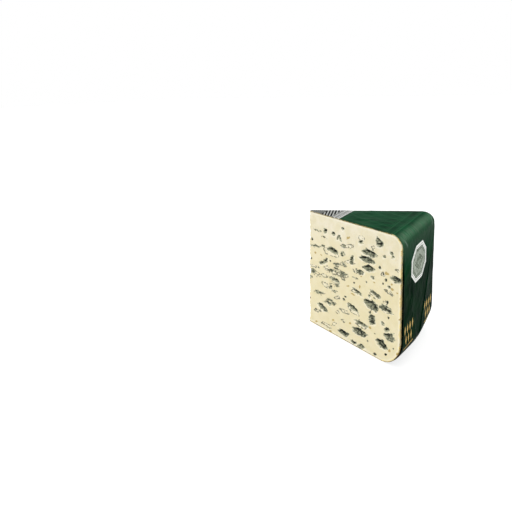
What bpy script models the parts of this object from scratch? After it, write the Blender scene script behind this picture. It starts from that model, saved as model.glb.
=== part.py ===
"""Wedge of an octagonal blue cheese in its foil wrap: one eighth of the wheel, cut from its axis to two corners.

The wheel stands on its base with its axis upright, so a wedge has a sharp tip, two flat cut faces that open 45
degrees apart, and one flat side of the octagon at its back. The wrap covers the top, that side and the base, and
stops at the cuts, where the veined paste shows.

Metres, +Z up. +X runs from the tip to the wrapped side, along the wedge's line of symmetry. The origin is on the
surface that the wedge stands on, halfway along it.
"""

import math
import random

import bmesh
import bpy
from mathutils import Matrix, Vector, noise

MM = 0.001

# The wheel, over its wrap
CORNER_RADIUS = 92 * MM
HEIGHT = 88 * MM
HALF_ANGLE = math.radians(22.5)
APOTHEM = CORNER_RADIUS * math.cos(HALF_ANGLE)
HALF_SIDE = CORNER_RADIUS * math.sin(HALF_ANGLE)
STEEPEST = math.tan(HALF_ANGLE)

# Rounded edges: the top one is even, the lower one climbs higher towards the octagon's corners
TOP_ROUND_IN = 8.5 * MM
TOP_ROUND_DOWN = 8.2 * MM
BASE_FLAT = 68 * MM
BASE_ROUND_UP = 10.5 * MM
BASE_ROUND_MORE_UP = 7.5 * MM
BASE_ROUND_GROWTH = 1.6
UPRIGHT_ROUND = 6 * MM

# The wrap: a printed foil, and the two pleats folded flat over the wrapped side
FOIL = 0.4 * MM
AIR_GAP = 0.3 * MM
FOIL_SET_BACK = 0.25 * MM
FOIL_TIP = 1.2 * MM
PLEAT_THICKNESS = 0.7 * MM
PLEAT_SUNK = 0.2 * MM
PLEAT_TOP = HEIGHT - 9 * MM
PLEAT_FOOT = 4 * MM
PLEAT_SEAM_GAP = 1.6 * MM

# How finely the curved faces are divided
FAN_STEPS = 18
TOP_ARC_STEPS = 8
BASE_ARC_STEPS = 10
PLEAT_ROWS = 20
PLEAT_COLUMNS = 6

TIP = Vector((-APOTHEM / 2, 0, 0))

# The open veins of the front cut: distance from the tip, height above the base, length, height, tilt and depth,
# in millimetres and degrees. The pressed curd lies flat, so most of them are low lenses.
FRONT_VEINS = (
    (24.5, 63.0, 11.0, 3.8, -4, 3.2),
    (62.0, 70.6, 12.5, 4.2, 2, 2.6),
    (60.0, 65.2, 14.0, 3.4, -3, 2.4),
    (61.0, 59.6, 11.0, 4.0, 3, 2.4),
    (85.8, 59.0, 8.4, 4.0, 5, 2.2),
    (72.0, 79.4, 6.5, 3.6, -25, 2.0),
    (44.6, 60.5, 5.6, 3.0, 78, 2.4),
    (14.8, 52.0, 9.0, 2.6, 28, 2.6),
    (52.5, 54.8, 7.5, 2.4, 3, 2.0),
    (28.5, 41.7, 5.5, 3.0, -10, 3.0),
    (50.5, 40.3, 9.5, 2.6, -12, 2.4),
    (68.0, 44.0, 10.0, 3.0, -12, 2.4),
    (64.0, 35.0, 13.0, 6.0, -6, 3.0),
    (77.8, 36.5, 11.0, 3.4, -4, 1.6),
    (46.0, 27.3, 11.0, 3.2, -14, 2.6),
    (65.3, 26.0, 7.0, 4.6, 30, 2.0),
    (80.5, 20.0, 9.6, 4.6, 10, 2.0),
    (55.0, 19.4, 12.0, 3.0, -4, 2.6),
    (12.8, 16.6, 10.5, 4.2, -14, 1.8),
    (53.0, 13.0, 14.0, 4.4, 2, 2.8),
    (74.0, 12.6, 9.5, 4.8, -10, 3.0),
    (35.5, 6.6, 10.0, 4.0, 0, 2.8),
)

# The photo shows that cut at a slant. A vein read off it square on belongs this much farther from the tip, less
# towards the side and right at the tip, and this much higher around SLANT_LEVEL. In millimetres.
SLANT_OUT = 4.6
SLANT_FADE = 8
SLANT_UP = 0.95
SLANT_LEVEL = 57
SLANT_REACH = 34

# The back cut's veins follow the same habit, strewn by a seeded rule
BACK_SEED = 8
BACK_VEIN_COUNT = 21
BACK_AREA = (7, 79, 7, 80)
BACK_SPACING = 10
BACK_LENGTH = (6, 14)
BACK_FLATNESS = (0.26, 0.46)
BACK_TILT = 14
BACK_DEPTH = (1.8, 3.2)
VEIN_ROUGHNESS = 0.28
VEIN_WAVE = 1.7

# The crumbled tip: notches along the upright edge, by height, half height and bite, in millimetres
TIP_NOTCHES = ((9, 6, 1.2), (27, 4, 0.9), (41, 3, 1.4), (52, 3.5, 0.9), (71, 5, 1.0))
NOTCH_SEED = 40


def clear_scene():
    """Removes what a new Blender file starts with."""
    for old in list(bpy.data.objects):
        bpy.data.objects.remove(old)


def collection(name):
    """A new collection in the scene."""
    made = bpy.data.collections.new(name)
    bpy.context.scene.collection.children.link(made)
    return made


def material(name, colour, roughness, metallic):
    """A Principled BSDF material."""
    made = bpy.data.materials.new(name)
    made.use_nodes = True
    shader = made.node_tree.nodes["Principled BSDF"]
    shader.inputs["Base Color"].default_value = (*colour, 1)
    shader.inputs["Roughness"].default_value = roughness
    shader.inputs["Metallic"].default_value = metallic
    return made


def new_object(name, mesh, group):
    """An object for a bmesh, in a collection, standing at the wedge's tip."""
    data = bpy.data.meshes.new(name)
    mesh.normal_update()
    bmesh.ops.recalc_face_normals(mesh, faces=mesh.faces)
    mesh.to_mesh(data)
    mesh.free()
    made = bpy.data.objects.new(name, data)
    made.location = TIP
    group.objects.link(made)
    return made


def side_distance(slope):
    """How far the wrapped side is from the wheel's axis, on the ray y = slope * x. It turns in at the corners."""
    run = UPRIGHT_ROUND * math.tan(HALF_ANGLE)
    past = max(0.0, run - (HALF_SIDE - abs(slope) * APOTHEM))
    return APOTHEM - UPRIGHT_ROUND + math.sqrt(UPRIGHT_ROUND**2 - past**2)


def base_round(slope):
    """The lower edge's reach inwards, to where the base is flat, and upwards, which grows towards the corners."""
    return (
        side_distance(slope) - BASE_FLAT,
        BASE_ROUND_UP + BASE_ROUND_MORE_UP * (abs(slope) / STEEPEST) ** BASE_ROUND_GROWTH,
    )


def profile(slope, inset):
    """(x, z) from the base's inner end, round the wrapped side, to the top's inner end, at a depth under the foil."""
    side = side_distance(slope) - inset
    base_in, base_up = (reach - inset for reach in base_round(slope))
    top_in, top_down = TOP_ROUND_IN - inset, TOP_ROUND_DOWN - inset
    points = []
    for step in range(BASE_ARC_STEPS + 1):
        turn = math.pi / 2 * (1 - step / BASE_ARC_STEPS)
        points.append((side - base_in * (1 - math.cos(turn)), inset + base_up * (1 - math.sin(turn))))
    for step in range(TOP_ARC_STEPS + 1):
        turn = math.pi / 2 * step / TOP_ARC_STEPS
        points.append((side - top_in * (1 - math.cos(turn)), HEIGHT - inset - top_down * (1 - math.sin(turn))))
    return points


def fan_slopes(set_back=0.0):
    """The rays of the fan, from the front cut to the back cut, closer together near the cuts."""
    widest = STEEPEST - set_back / APOTHEM
    return [
        widest * math.sin(math.pi / 2 * (2 * step / FAN_STEPS - 1)) for step in range(FAN_STEPS + 1)
    ]


def skin_rows(inset, inner, set_back=0.0):
    """The wedge's outer surface as one row of points for each ray. inner is how far from the tip it starts."""
    rows = []
    for slope in fan_slopes(set_back):
        outline = profile(slope, inset)
        outline = [(inner, outline[0][1]), *outline, (inner, outline[-1][1])]
        rows.append([Vector((x, x * slope, z)) for x, z in outline])
    return rows


def join_rows(mesh, rows):
    """Faces between neighbouring rows of vertices."""
    for row, following in zip(rows, rows[1:]):
        for a, b, c, d in zip(row, row[1:], following[1:], following):
            mesh.faces.new((a, b, c, d))


def paste_body(group, finish):
    """The wedge of cheese itself: the fan of profiles drawn together at the tip, and closed by the two cuts."""
    inset = FOIL + AIR_GAP
    rows = skin_rows(inset, 0.0)
    mesh = bmesh.new()
    low = mesh.verts.new(rows[0][0])
    high = mesh.verts.new(rows[0][-1])
    made = [[mesh.verts.new(point) for point in row[1:-1]] for row in rows]
    join_rows(mesh, made)
    for row, following in zip(made, made[1:]):
        mesh.faces.new((low, row[0], following[0]))
        mesh.faces.new((high, following[-1], row[-1]))
    mesh.faces.new((low, *made[0], high))
    mesh.faces.new((high, *reversed(made[-1]), low))
    paste = new_object("paste", mesh, group)
    paste.data.materials.append(finish)
    return paste


def cut_frame(side):
    """The cut's own axes: along it from the tip, and out of it. side is -1 for the front cut and 1 for the back."""
    along = Vector((math.cos(HALF_ANGLE), side * math.sin(HALF_ANGLE), 0))
    out = Vector((-math.sin(HALF_ANGLE), side * math.cos(HALF_ANGLE), 0))
    return along, out


def rough_lens(name, centre, axes, half_sizes, tilt, seed, group):
    """An uneven lens, laid in the plane of a cut, that opens a hollow in the paste."""
    along, out = axes
    up = Vector((0, 0, 1))
    turned = Matrix.Rotation(tilt, 3, "Y")
    mesh = bmesh.new()
    bmesh.ops.create_icosphere(mesh, subdivisions=2, radius=1)
    for vertex in mesh.verts:
        direction = vertex.co.copy()
        swell = 1 + VEIN_ROUGHNESS * noise.noise(direction * VEIN_WAVE + Vector((seed, 0, 0)))
        local = Vector(direction[i] * half_sizes[i] for i in range(3)) * swell
        local = turned @ local
        vertex.co = centre + along * local.x + out * local.y + up * local.z
    made = new_object(name, mesh, group)
    made.hide_render = True
    made.display_type = "WIRE"
    return made


def vein_hollow(name, vein, side, seed, group):
    """The cutter of one vein, from its place on the cut in millimetres."""
    distance, height, length, breadth, tilt, depth = vein
    along, out = cut_frame(side)
    centre = along * distance * MM + Vector((0, 0, height * MM))
    half_sizes = (length / 2 * MM, depth * MM, breadth / 2 * MM)
    # Tilt is positive where the vein climbs away from the tip
    rough_lens(name, centre, (along, out), half_sizes, -math.radians(tilt), seed, group)


def set_straight(vein):
    """A vein of the front cut where it belongs, once the photo's slant is allowed for."""
    distance, height = vein[:2]
    out = SLANT_OUT * (1 - distance * MM / CORNER_RADIUS) * (1 - math.exp(-distance / SLANT_FADE))
    up = SLANT_UP * (1 - ((height - SLANT_LEVEL) / SLANT_REACH) ** 2)
    return (distance + out, height + up, *vein[2:])


def back_veins():
    """The back cut's veins: strewn over its area, and never closer than BACK_SPACING."""
    rng = random.Random(BACK_SEED)
    near, far, low, high = BACK_AREA
    veins = []
    while len(veins) < BACK_VEIN_COUNT:
        distance, height = rng.uniform(near, far), rng.uniform(low, high)
        if any(math.hypot((distance - v[0]) * 0.7, height - v[1]) < BACK_SPACING for v in veins):
            continue
        length = rng.uniform(*BACK_LENGTH)
        breadth = length * rng.uniform(*BACK_FLATNESS)
        tilt = rng.uniform(-BACK_TILT, BACK_TILT)
        veins.append((distance, height, length, breadth, tilt, rng.uniform(*BACK_DEPTH)))
    return veins


def tip_notches(group):
    """Shallow bites out of the upright edge, where the crumbly paste broke under the knife."""
    for index, (height, half_height, bite) in enumerate(TIP_NOTCHES):
        centre = Vector((0, 0, height * MM))
        half_sizes = (bite * MM, 3 * MM, half_height * MM)
        axes = (Vector((1, 0, 0)), Vector((0, 1, 0)))
        rough_lens(f"notch_{index}", centre, axes, half_sizes, 0.0, NOTCH_SEED + index, group)


def cut_hollows(paste, cutters):
    """Takes the veins and notches out of the paste."""
    for index, vein in enumerate(FRONT_VEINS):
        vein_hollow(f"front_vein_{index}", set_straight(vein), -1, index, cutters)
    for index, vein in enumerate(back_veins()):
        vein_hollow(f"back_vein_{index}", vein, 1, len(FRONT_VEINS) + index, cutters)
    tip_notches(cutters)
    hollows = paste.modifiers.new("hollows", "BOOLEAN")
    hollows.operation = "DIFFERENCE"
    hollows.operand_type = "COLLECTION"
    hollows.collection = cutters
    hollows.solver = "EXACT"


def foil_sheet(group, finish):
    """The foil over the top, the side and the base, as one folded sheet with its thickness outwards."""
    rows = skin_rows(FOIL, FOIL_TIP, FOIL_SET_BACK)
    mesh = bmesh.new()
    join_rows(mesh, [[mesh.verts.new(point) for point in row] for row in rows])
    sheet = new_object("wrap", mesh, group)
    sheet.data.materials.append(finish)
    return sheet


def pleat_point(side, across, height, lift):
    """A point on a pleat: across is 0 at the wedge's corner and 1 at the seam, which runs down to mid face."""
    widest = STEEPEST - FOIL_SET_BACK / APOTHEM
    reach = widest - PLEAT_SEAM_GAP / 2 / APOTHEM
    slope = side * (widest - across * reach * (PLEAT_TOP - height) / (PLEAT_TOP - PLEAT_FOOT))
    base_in, base_up = base_round(slope)
    turn = math.asin(max(0.0, 1 - height / base_up))
    x = side_distance(slope) - base_in * (1 - math.cos(turn)) + lift * math.cos(turn)
    return Vector((x, x * slope, height - lift * math.sin(turn)))


def borders(grid):
    """The four edges of a grid of vertices."""
    return grid[0], grid[-1], [row[0] for row in grid], [row[-1] for row in grid]


def pleat(name, side, group):
    """One pleat: the surplus foil of a corner, folded flat over the side as a long triangle."""
    mesh = bmesh.new()
    layers = []
    for lift in (-PLEAT_SUNK, PLEAT_THICKNESS - PLEAT_SUNK):
        grid = []
        for row in range(1, PLEAT_ROWS + 1):
            height = PLEAT_TOP + (PLEAT_FOOT - PLEAT_TOP) * (row / PLEAT_ROWS) ** 0.8
            grid.append(
                [
                    mesh.verts.new(pleat_point(side, column / PLEAT_COLUMNS, height, lift))
                    for column in range(PLEAT_COLUMNS + 1)
                ]
            )
        layers.append(grid)
        join_rows(mesh, grid)
    for low_edge, high_edge in zip(borders(layers[0]), borders(layers[1])):
        join_rows(mesh, [low_edge, high_edge])
    return new_object(name, mesh, group)


def wrap_with_pleats(group, cutters, finish):
    """The foil sheet, thickened, with its two pleats joined on."""
    sheet = foil_sheet(group, finish)
    thick = sheet.modifiers.new("foil thickness", "SOLIDIFY")
    thick.thickness = FOIL
    thick.offset = 1
    thick.use_even_offset = True
    for name, side in (("pleat_front", -1), ("pleat_back", 1)):
        made = pleat(name, side, cutters)
        made.hide_render = True
        made.display_type = "WIRE"
        join = sheet.modifiers.new(name, "BOOLEAN")
        join.operation = "UNION"
        join.object = made
        join.solver = "EXACT"
    return sheet


def main():
    clear_scene()
    wedge = collection("cheese_wedge")
    hollows = collection("vein_cutters")
    folds = collection("pleats")
    ivory = material("ivory_paste", (0.80, 0.72, 0.50), 0.55, 0.0)
    green = material("green_foil", (0.014, 0.045, 0.028), 0.35, 0.2)
    cut_hollows(paste_body(wedge, ivory), hollows)
    wrap_with_pleats(wedge, folds, green)


main()
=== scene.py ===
"""A wedge of blue cheese in its foil wrap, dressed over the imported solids."""

import math
import random

import bpy
import numpy as np
from mathutils import Matrix, Vector, noise


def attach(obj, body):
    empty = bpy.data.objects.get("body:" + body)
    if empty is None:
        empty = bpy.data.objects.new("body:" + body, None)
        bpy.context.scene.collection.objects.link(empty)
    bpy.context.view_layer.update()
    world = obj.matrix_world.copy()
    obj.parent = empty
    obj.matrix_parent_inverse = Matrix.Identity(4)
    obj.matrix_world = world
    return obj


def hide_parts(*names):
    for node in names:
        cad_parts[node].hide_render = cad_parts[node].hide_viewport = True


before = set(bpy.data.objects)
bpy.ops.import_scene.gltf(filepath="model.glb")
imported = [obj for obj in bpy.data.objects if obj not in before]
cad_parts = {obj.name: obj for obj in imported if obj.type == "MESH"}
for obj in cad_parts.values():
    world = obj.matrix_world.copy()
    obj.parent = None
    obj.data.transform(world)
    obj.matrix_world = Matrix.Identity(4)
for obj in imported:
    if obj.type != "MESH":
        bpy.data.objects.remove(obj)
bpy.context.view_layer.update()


# Camera. It looks down on the front cut, and past it along the wrapped side, as the photograph does. Its
# focal length and shift are those of a frame 512 pixels wide.
MM = 0.001
FRAME_PIXELS = 512
SENSOR = 36
FOCAL_PIXELS = 501
RIGHT_SHIFT_PIXELS = 36
UP_SHIFT_PIXELS = 62.5
CAMERA_PLACE = Vector((132.0, -312.3, 177.3)) * MM
CAMERA_YAW = math.radians(120.9)
CAMERA_PITCH = math.radians(-12.11)
CAMERA_ROLL = math.radians(-1.5)

look = Vector(
    (
        math.cos(CAMERA_YAW) * math.cos(CAMERA_PITCH),
        math.sin(CAMERA_YAW) * math.cos(CAMERA_PITCH),
        math.sin(CAMERA_PITCH),
    )
)
level = Vector((math.sin(CAMERA_YAW), -math.cos(CAMERA_YAW), 0))
head_up = level.cross(look)
right = math.cos(CAMERA_ROLL) * level + math.sin(CAMERA_ROLL) * head_up
up = math.cos(CAMERA_ROLL) * head_up - math.sin(CAMERA_ROLL) * level
camera_data = bpy.data.cameras.new("camera")
camera_data.sensor_width = SENSOR
camera_data.lens = SENSOR * FOCAL_PIXELS / FRAME_PIXELS
camera_data.shift_x = -RIGHT_SHIFT_PIXELS / FRAME_PIXELS
camera_data.shift_y = -UP_SHIFT_PIXELS / FRAME_PIXELS
camera = bpy.data.objects.new("camera", camera_data)
camera.matrix_world = Matrix.Translation(CAMERA_PLACE) @ Matrix((right, up, -look)).transposed().to_4x4()
bpy.context.scene.collection.objects.link(camera)
bpy.context.scene.camera = camera


# Paste. One eighth of a pressed wheel of ivory blue cheese, split by a wire from its axis to two of its
# eight corners. The curds were ladled loosely, and blue mould grew in the flat gaps between them.
CORNER_RADIUS = 92
HEIGHT = 88
HALF_ANGLE = math.radians(22.5)
STEEPEST = math.tan(HALF_ANGLE)
APOTHEM = CORNER_RADIUS * math.cos(HALF_ANGLE)
HALF_SIDE = CORNER_RADIUS * math.sin(HALF_ANGLE)
UPRIGHT_ROUND = 6
TOP_ROUND_IN = 8.5
TOP_ROUND_DOWN = 8.2
BASE_FLAT = 68
BASE_ROUND_UP = 10.5
BASE_ROUND_MORE_UP = 7.5
BASE_ROUND_GROWTH = 1.6
UNDER_FOIL = 0.55
SHRUNK_BACK = 0.55
TIP_PLACE = np.array((-APOTHEM / 2, 0, 0))

# Blender would otherwise seed its vector noise from the clock, and no two runs would be alike
NOISE_SEED = 4
noise.seed_set(NOISE_SEED)


def soft_step(low, high, value):
    """0 at low, 1 at high, and smooth between."""
    t = np.clip((value - low) / (high - low), 0, 1)
    return t * t * (3 - 2 * t)


SEED_SHIFT = (17.3, 5.1, 9.7)


def noise_over(points, size, seed):
    """Smooth noise of about -1 to 1 at each point, as three fields. One lump is size millimetres across."""
    shift = Vector([seed * step for step in SEED_SHIFT])
    made = [noise.noise_vector(Vector(p) + shift) for p in points.reshape(-1, 3) / size]
    return np.array(made).reshape(points.shape)


def side_distance(slope):
    """How far the wrapped side is from the wheel's axis, on the ray y = slope * x."""
    run = UPRIGHT_ROUND * math.tan(HALF_ANGLE)
    past = np.maximum(0, run - (HALF_SIDE - np.abs(slope) * APOTHEM))
    return APOTHEM - UPRIGHT_ROUND + np.sqrt(UPRIGHT_ROUND**2 - past**2)


def base_round(slope):
    """How high the foot's curve climbs on that ray: it is tallest under the corners."""
    return BASE_ROUND_UP + BASE_ROUND_MORE_UP * (np.abs(slope) / STEEPEST) ** BASE_ROUND_GROWTH


def reach(slope, height, inset):
    """How far the wedge reaches from the axis on that ray, at a height, at a depth under the wrap's face."""
    side = side_distance(slope) - inset
    low = np.clip(1 - (height - inset) / (base_round(slope) - inset), 0, 1)
    high = np.clip(1 - (HEIGHT - inset - height) / (TOP_ROUND_DOWN - inset), 0, 1)
    foot = (side - BASE_FLAT) * (1 - np.sqrt(1 - low**2))
    shoulder = (TOP_ROUND_IN - inset) * (1 - np.sqrt(1 - high**2))
    return side - foot - shoulder


# Both cuts are close grids of points, and closer still along their outlines
CUT_STEP = 0.45
NEAR_EDGE = (0, 0.08, 0.22, 0.42, 0.7, 1.05, 1.45)
CUT_COLUMNS = 208
FAN_STEPS = 14
lowest, highest = UNDER_FOIL, HEIGHT - UNDER_FOIL
middle_rows = round((highest - lowest - 2 * NEAR_EDGE[-1]) / CUT_STEP)
heights = np.concatenate(
    (
        lowest + np.array(NEAR_EDGE[:-1]),
        np.linspace(lowest + NEAR_EDGE[-1], highest - NEAR_EDGE[-1], middle_rows),
        highest - np.array(NEAR_EDGE[-2::-1]),
    )
)
along = np.linspace(0, 1, CUT_COLUMNS)

# The front cut's marks, read off the photograph in millimetres and degrees: distance from the tip, height
# over the base, length, breadth and tilt. A gap has a depth as well, and a dot has only its size after its
# place. Pressing made most of them low and level.
FRONT_GAPS = (
    (24.8, 62.9, 11.4, 4.0, -5, 3.2), (61.8, 70.4, 12.6, 4.2, 2, 2.6), (57.6, 65.8, 9.5, 2.8, 10, 2.2),
    (63.8, 65.2, 6.6, 3.4, -6, 2.4), (61.0, 59.6, 10.6, 4.2, 4, 2.4), (85.8, 58.9, 8.6, 4.0, 5, 2.2),
    (72.0, 79.0, 7.0, 2.6, 22, 1.8), (70.4, 80.8, 4.6, 2.2, -48, 1.8), (45.0, 61.6, 5.4, 2.2, 72, 2.4),
    (44.5, 58.8, 3.6, 2.4, 0, 2.2), (12.8, 50.6, 6.0, 2.0, 14, 2.4), (16.8, 53.2, 6.4, 2.2, 38, 2.4),
    (52.8, 55.0, 6.8, 2.0, 4, 2.0), (28.8, 41.5, 5.4, 3.2, -12, 3.0), (50.6, 40.2, 9.4, 2.4, -15, 2.4),
    (68.2, 43.9, 9.6, 2.8, -14, 2.4), (63.4, 35.4, 12.4, 5.6, -8, 3.0), (67.4, 33.4, 6.4, 3.6, -14, 2.2),
    (77.8, 36.5, 10.0, 2.6, -4, 1.6), (45.8, 27.6, 11.4, 3.0, -13, 2.6), (64.6, 27.4, 6.0, 2.6, 20, 2.0),
    (65.2, 24.2, 5.4, 2.8, 34, 2.0), (80.0, 20.4, 8.6, 3.6, 18, 2.0), (54.8, 19.5, 12.4, 3.0, -2, 2.6),
    (12.4, 17.2, 9.4, 4.2, -16, 1.6), (52.8, 13.2, 13.4, 4.4, 4, 2.8), (73.8, 12.6, 9.8, 5.0, -12, 3.0),
    (35.4, 6.4, 10.2, 4.2, 2, 2.8), (54.4, 3.7, 7.4, 3.2, 12, 2.0), (46.6, 3.9, 5.2, 1.8, 4, 1.2),
    (53.9, 75.8, 4.0, 2.2, 4, 1.3), (17.2, 75.6, 3.4, 2.8, 30, 1.4), (25.8, 75.6, 3.2, 2.4, 0, 1.3),
    (35.8, 81.6, 3.2, 2.4, -10, 1.2), (78.9, 23.8, 4.6, 2.8, 24, 1.4), (82.2, 75.2, 3.0, 2.2, -20, 1.3),
    (83.2, 72.8, 2.8, 1.8, 30, 1.1), (22.8, 35.4, 3.2, 2.4, 10, 1.4), (20.6, 22.2, 4.4, 2.0, -10, 1.4),
    (31.1, 74.2, 4.6, 1.8, 40, 1.4), (32.8, 73.0, 3.8, 1.6, -48, 1.2), (80.2, 52.4, 3.2, 1.8, -20, 1.2),
    (71.8, 63.2, 2.6, 1.8, 0, 1.0), (65.6, 54.2, 2.8, 1.6, -15, 1.0), (75.2, 26.6, 3.2, 2.0, -30, 1.2),
    (62.4, 40.7, 2.4, 1.8, 0, 1.1), (75.6, 71.3, 2.4, 1.7, -10, 1.0), (37.0, 69.2, 3.2, 1.6, 20, 1.1),
)
FRONT_STAINS = (
    (35.4, 62.6, 5.4, 4.4, -4), (6.0, 61.4, 12.5, 2.2, 6), (13.6, 63.6, 6.4, 2.2, 12),
    (3.4, 41.6, 9.0, 3.6, -4), (1.8, 36.0, 5.0, 3.0, 6), (37.0, 55.0, 5.0, 2.6, -24),
    (28.8, 53.9, 7.0, 2.4, 8), (20.0, 24.8, 8.0, 3.2, 10), (24.6, 23.4, 6.0, 2.4, 14),
    (14.8, 22.0, 5.4, 1.8, 10), (8.6, 26.9, 10.6, 3.2, 10), (76.8, 37.0, 11.0, 4.8, 8),
    (81.6, 35.2, 5.6, 1.8, 16), (81.4, 19.0, 10.4, 4.6, 8), (83.6, 22.4, 5.4, 1.6, 28),
    (29.9, 38.4, 5.0, 2.0, 22), (26.6, 33.1, 5.6, 2.2, 14), (22.4, 47.2, 8.0, 3.0, 8),
    (35.6, 49.0, 9.6, 3.2, 4), (28.0, 50.6, 6.0, 1.6, 12), (66.6, 35.6, 9.0, 6.6, -24),
    (71.2, 79.6, 8.0, 4.8, -22), (13.4, 16.8, 11.6, 5.0, -16), (53.0, 12.8, 15.0, 5.6, 4),
    (63.6, 70.0, 12.0, 5.0, 0), (61.0, 65.0, 14.6, 4.8, 2), (61.4, 59.4, 11.4, 5.2, 4),
    (24.6, 41.8, 8.0, 3.0, 2), (65.0, 26.0, 7.6, 6.6, 24), (86.4, 58.6, 8.6, 5.2, 2),
    (36.0, 6.4, 12.4, 5.0, 4), (74.4, 12.6, 11.4, 6.0, -12), (48.6, 49.4, 7.6, 1.8, 6),
    (15.4, 70.4, 6.4, 1.8, -6), (8.4, 74.2, 9.0, 1.8, -4), (43.0, 28.0, 8.0, 3.4, -13),
)
FRONT_SKINS = (
    (22.8, 60.8, 16.6, 5.6, -3), (36.9, 55.0, 6.4, 3.4, -10), (15.8, 41.5, 7.4, 2.2, 8),
    (16.4, 34.8, 10.4, 2.6, -8), (37.2, 22.0, 9.0, 2.4, 2), (17.4, 5.4, 9.6, 2.4, 2),
    (43.6, 59.0, 9.6, 3.4, 8), (74.2, 59.0, 3.6, 3.4, 10), (25.2, 8.8, 6.0, 2.0, 24),
    (18.4, 48.0, 7.0, 3.4, 10), (25.0, 46.8, 8.4, 3.0, -6), (31.4, 47.6, 5.0, 2.6, 30),
    (37.4, 47.8, 6.4, 3.2, 8), (35.8, 45.0, 5.0, 1.4, -10), (29.0, 53.4, 7.6, 2.4, 8),
    (54.6, 78.6, 5.6, 4.0, 0), (29.6, 18.8, 4.4, 2.2, 4), (35.8, 15.0, 4.0, 2.2, 4),
    (46.4, 25.4, 11.4, 3.2, -16), (54.4, 17.6, 9.6, 2.4, 0), (67.0, 42.4, 9.6, 2.4, -14),
    (40.2, 69.6, 13.0, 2.4, 12), (80.4, 48.6, 8.6, 1.6, -14), (5.0, 45.2, 10.6, 1.4, 8),
    (51.0, 54.4, 8.6, 2.6, 6), (47.4, 39.6, 6.0, 1.6, 4), (28.6, 29.2, 6.4, 1.6, 14),
    (77.6, 41.3, 3.8, 1.8, 24), (80.8, 37.0, 4.4, 3.4, -30), (7.6, 12.8, 8.4, 2.0, 8),
    (65.6, 75.0, 3.4, 2.2, 40), (87.6, 64.8, 4.0, 1.2, 4),
)
FRONT_DOTS = (
    (3.6, 66.2, 2.2), (77.6, 56.0, 2.2), (75.0, 53.2, 1.6), (22.0, 54.2, 1.8), (78.0, 49.2, 1.8),
    (2.4, 50.6, 2.4), (78.4, 41.6, 2.0), (38.2, 32.8, 2.0), (36.4, 30.6, 1.8), (5.8, 12.8, 1.8),
    (68.4, 3.6, 2.6), (60.6, 9.4, 1.8), (78.4, 7.2, 2.0), (84.3, 13.6, 1.4), (74.6, 59.2, 1.8),
    (65.0, 38.6, 1.6), (67.8, 17.0, 1.4), (79.6, 31.9, 1.4), (0.6, 20.0, 2.2), (59.2, 49.6, 1.6),
    (63.0, 29.8, 2.2), (47.2, 45.6, 1.5), (28.6, 30.0, 1.4), (8.6, 45.8, 1.8),
)
FRONT_CRUMBS = (
    (41.7, 76.0, 5.4, 1.5, 32), (78.3, 60.8, 4.4, 2.2, 10), (83.0, 51.5, 3.4, 1.4, -10),
    (6.0, 56.4, 2.6, 1.6, 0), (12.6, 56.4, 2.6, 1.4, 0), (46.0, 37.0, 4.0, 1.2, 0),
    (53.4, 44.4, 1.8, 2.6, 0), (63.3, 19.7, 2.4, 1.4, 0), (21.4, 3.0, 3.0, 1.6, 0),
    (6.8, 3.8, 3.6, 1.4, 8), (81.4, 10.8, 2.0, 1.6, 60), (88.0, 11.3, 2.2, 1.8, 70),
    (43.4, 15.6, 2.4, 1.2, 0), (41.0, 41.8, 4.0, 1.0, 24), (82.4, 54.6, 2.2, 1.0, 60),
    (66.6, 51.4, 1.8, 1.0, 0), (25.0, 11.4, 3.4, 1.2, 8), (87.4, 50.2, 2.4, 0.8, 10),
    (90.0, 34.0, 2.6, 1.0, 10), (53.8, 51.8, 2.6, 0.9, 20),
)

# Where curds lie close, their skins show as a net of fine lines
FRONT_NETS = (
    (28.5, 47.6, 27.0, 7.0, 2), (7.0, 40.6, 14.0, 6.4, -4), (21.6, 23.6, 15.0, 5.6, 8),
    (12.6, 27.2, 12.0, 3.6, 10), (14.0, 17.0, 12.0, 5.4, -16), (9.0, 62.4, 18.0, 3.4, 8),
    (26.0, 38.6, 12.0, 6.0, 10), (77.0, 36.6, 12.0, 5.0, 6), (82.0, 19.6, 11.0, 5.4, 12),
    (63.6, 34.0, 15.0, 6.0, -12), (52.6, 54.6, 9.0, 4.0, 6), (36.4, 55.4, 8.0, 4.4, -20),
)

# The photo shows that cut at a slant. A mark read off it square on belongs up to SLANT_OUT farther from the
# tip, less towards the side and right at the tip, and up to SLANT_UP higher, most around SLANT_LEVEL.
SLANT_OUT, SLANT_FADE = 4.6, 8
SLANT_UP, SLANT_LEVEL, SLANT_REACH = 0.95, 57, 34


def set_straight(mark):
    """A mark of the front cut where it belongs, once the photo's slant is allowed for."""
    distance, height = mark[:2]
    out = SLANT_OUT * (1 - distance / CORNER_RADIUS) * (1 - math.exp(-distance / SLANT_FADE))
    up = SLANT_UP * (1 - ((height - SLANT_LEVEL) / SLANT_REACH) ** 2)
    return (distance + out, height + up, *mark[2:])


# The back cut's open gaps are strewn by the same rule, and from the same seed, as the solid's. The finer
# marks between them come from a second seed.
BACK_SEED = 8
BACK_GAP_COUNT = 21
BACK_AREA = (7, 79, 7, 80)
BACK_SPACING = 10
BACK_LENGTH = (6, 14)
BACK_FLATNESS = (0.26, 0.46)
BACK_TILT = 14
BACK_DEPTH = (1.8, 3.2)
BACK_ALONG = 0.7
FINE_SEED = 31
FINE_AREA = (3, 86, 4, 83)
FINE_TILT = 24
FINE_TRIES = 40
FINE_ALONG, FINE_REACH = 0.6, 0.2
FINE_GAP_DEPTH = 1.3


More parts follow.
